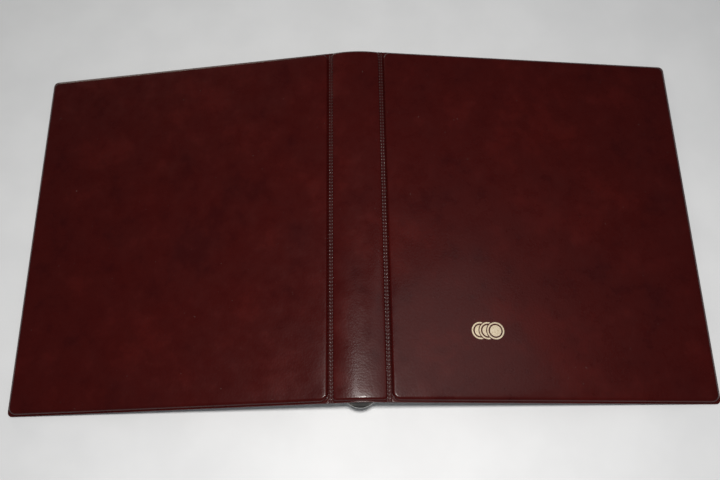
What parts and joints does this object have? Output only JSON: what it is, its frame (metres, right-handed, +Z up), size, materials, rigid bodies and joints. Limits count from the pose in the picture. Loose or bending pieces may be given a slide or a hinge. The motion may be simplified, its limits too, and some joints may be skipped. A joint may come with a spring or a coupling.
{
  "type": "coin album",
  "caption": "Padded ring album for coins, open and face down: two covers hinged on welded seams to a rounded spine, a ring mechanism with levers, and clear pocket sheets.",
  "frame": {"origin": "on the table under the middle of the spine", "axes": "+X across the spine to the front cover's fore-edge, +Y along the spine to the head, +Z up out of the spine"},
  "size_m": [0.5758, 0.3206, 0.0434],
  "materials": {
    "leatherette": "semi-gloss, antique mottling",
    "lining": "smooth satin",
    "foam": "open-cell foam",
    "greyboard": "uncoated",
    "gold_foil": "stamped foil",
    "clear_vinyl": "clear, glossy",
    "nickel_case": "nickel plated",
    "nickel_steel": "nickel plated"
  },
  "bodies": {
    "spine": {"spine_skin": "leatherette", "spine_foam": "foam", "spine_board": "greyboard", "spine_lining": "lining", "front_hinge_weld": "leatherette", "back_hinge_weld": "leatherette", "mechanism_case": "nickel_case", "mechanism_rivets": "nickel_steel", "head_lever_pin": "nickel_steel", "foot_lever_pin": "nickel_steel"},
    "front_cover": {"front_cover_skin": "leatherette", "front_cover_foam": "foam", "front_cover_board": "greyboard", "front_cover_lining": "lining", "cover_emblem": "gold_foil"},
    "back_cover": {"back_cover_skin": "leatherette", "back_cover_foam": "foam", "back_cover_board": "greyboard", "back_cover_lining": "lining"},
    "front_rings": {"front_ring_blade": "nickel_steel", "front_half_ring_1": "nickel_steel", "front_half_ring_2": "nickel_steel", "front_half_ring_3": "nickel_steel", "front_half_ring_4": "nickel_steel"},
    "back_rings": {"back_ring_blade": "nickel_steel", "back_half_ring_1": "nickel_steel", "back_half_ring_2": "nickel_steel", "back_half_ring_3": "nickel_steel", "back_half_ring_4": "nickel_steel"},
    "head_lever": {"head_lever": "nickel_steel"},
    "foot_lever": {"foot_lever": "nickel_steel"},
    "front_sheets": {"front_coin_sheet_1": "clear_vinyl", "front_coin_sheet_2": "clear_vinyl", "front_coin_sheet_3": "clear_vinyl"},
    "back_sheets": {"back_coin_sheet_1": "clear_vinyl", "back_coin_sheet_2": "clear_vinyl", "back_coin_sheet_3": "clear_vinyl"}
  },
  "joints": [
    {"name": "front_cover_hinge", "type": "hinge", "parent": "spine", "child": "front_cover", "pos_m": [0.0224, 0, 0.0373], "axis": [0, 1, 0], "range_deg": [-7.89, 82.11]},
    {"name": "back_cover_hinge", "type": "hinge", "parent": "spine", "child": "back_cover", "pos_m": [-0.0224, 0, 0.0373], "axis": [0, -1, 0], "range_deg": [-7.89, 82.11]},
    {"name": "front_sheets_turn", "type": "hinge", "parent": "spine", "child": "front_sheets", "pos_m": [0, 0, 0.0165], "axis": [0, 1, 0], "range_deg": [-8.27, 85.92]},
    {"name": "back_sheets_turn", "type": "hinge", "parent": "spine", "child": "back_sheets", "pos_m": [0, 0, 0.0165], "axis": [0, -1, 0], "range_deg": [-8.27, 85.92]},
    {"name": "front_rings_open", "type": "hinge", "parent": "spine", "child": "front_rings", "pos_m": [0.01035, 0, 0.0372], "axis": [0, -1, 0], "range_deg": [0, 12]},
    {"name": "back_rings_open", "type": "hinge", "parent": "spine", "child": "back_rings", "pos_m": [-0.01035, 0, 0.0372], "axis": [0, 1, 0], "range_deg": [0, 12]},
    {"name": "head_lever_press", "type": "hinge", "parent": "spine", "child": "head_lever", "pos_m": [0, 0.138, 0.0369], "axis": [1, 0, 0], "range_deg": [0, 12]},
    {"name": "foot_lever_press", "type": "hinge", "parent": "spine", "child": "foot_lever", "pos_m": [0, -0.138, 0.0369], "axis": [-1, 0, 0], "range_deg": [0, 12]}
  ],
  "couplings": [
    {"joint": "front_sheets_turn", "follows": "front_cover_hinge", "ratio": 1.0462},
    {"joint": "back_sheets_turn", "follows": "back_cover_hinge", "ratio": 1.0462},
    {"joint": "back_rings_open", "follows": "front_rings_open", "ratio": 1},
    {"joint": "head_lever_press", "follows": "front_rings_open", "ratio": 1},
    {"joint": "foot_lever_press", "follows": "front_rings_open", "ratio": 1}
  ]
}
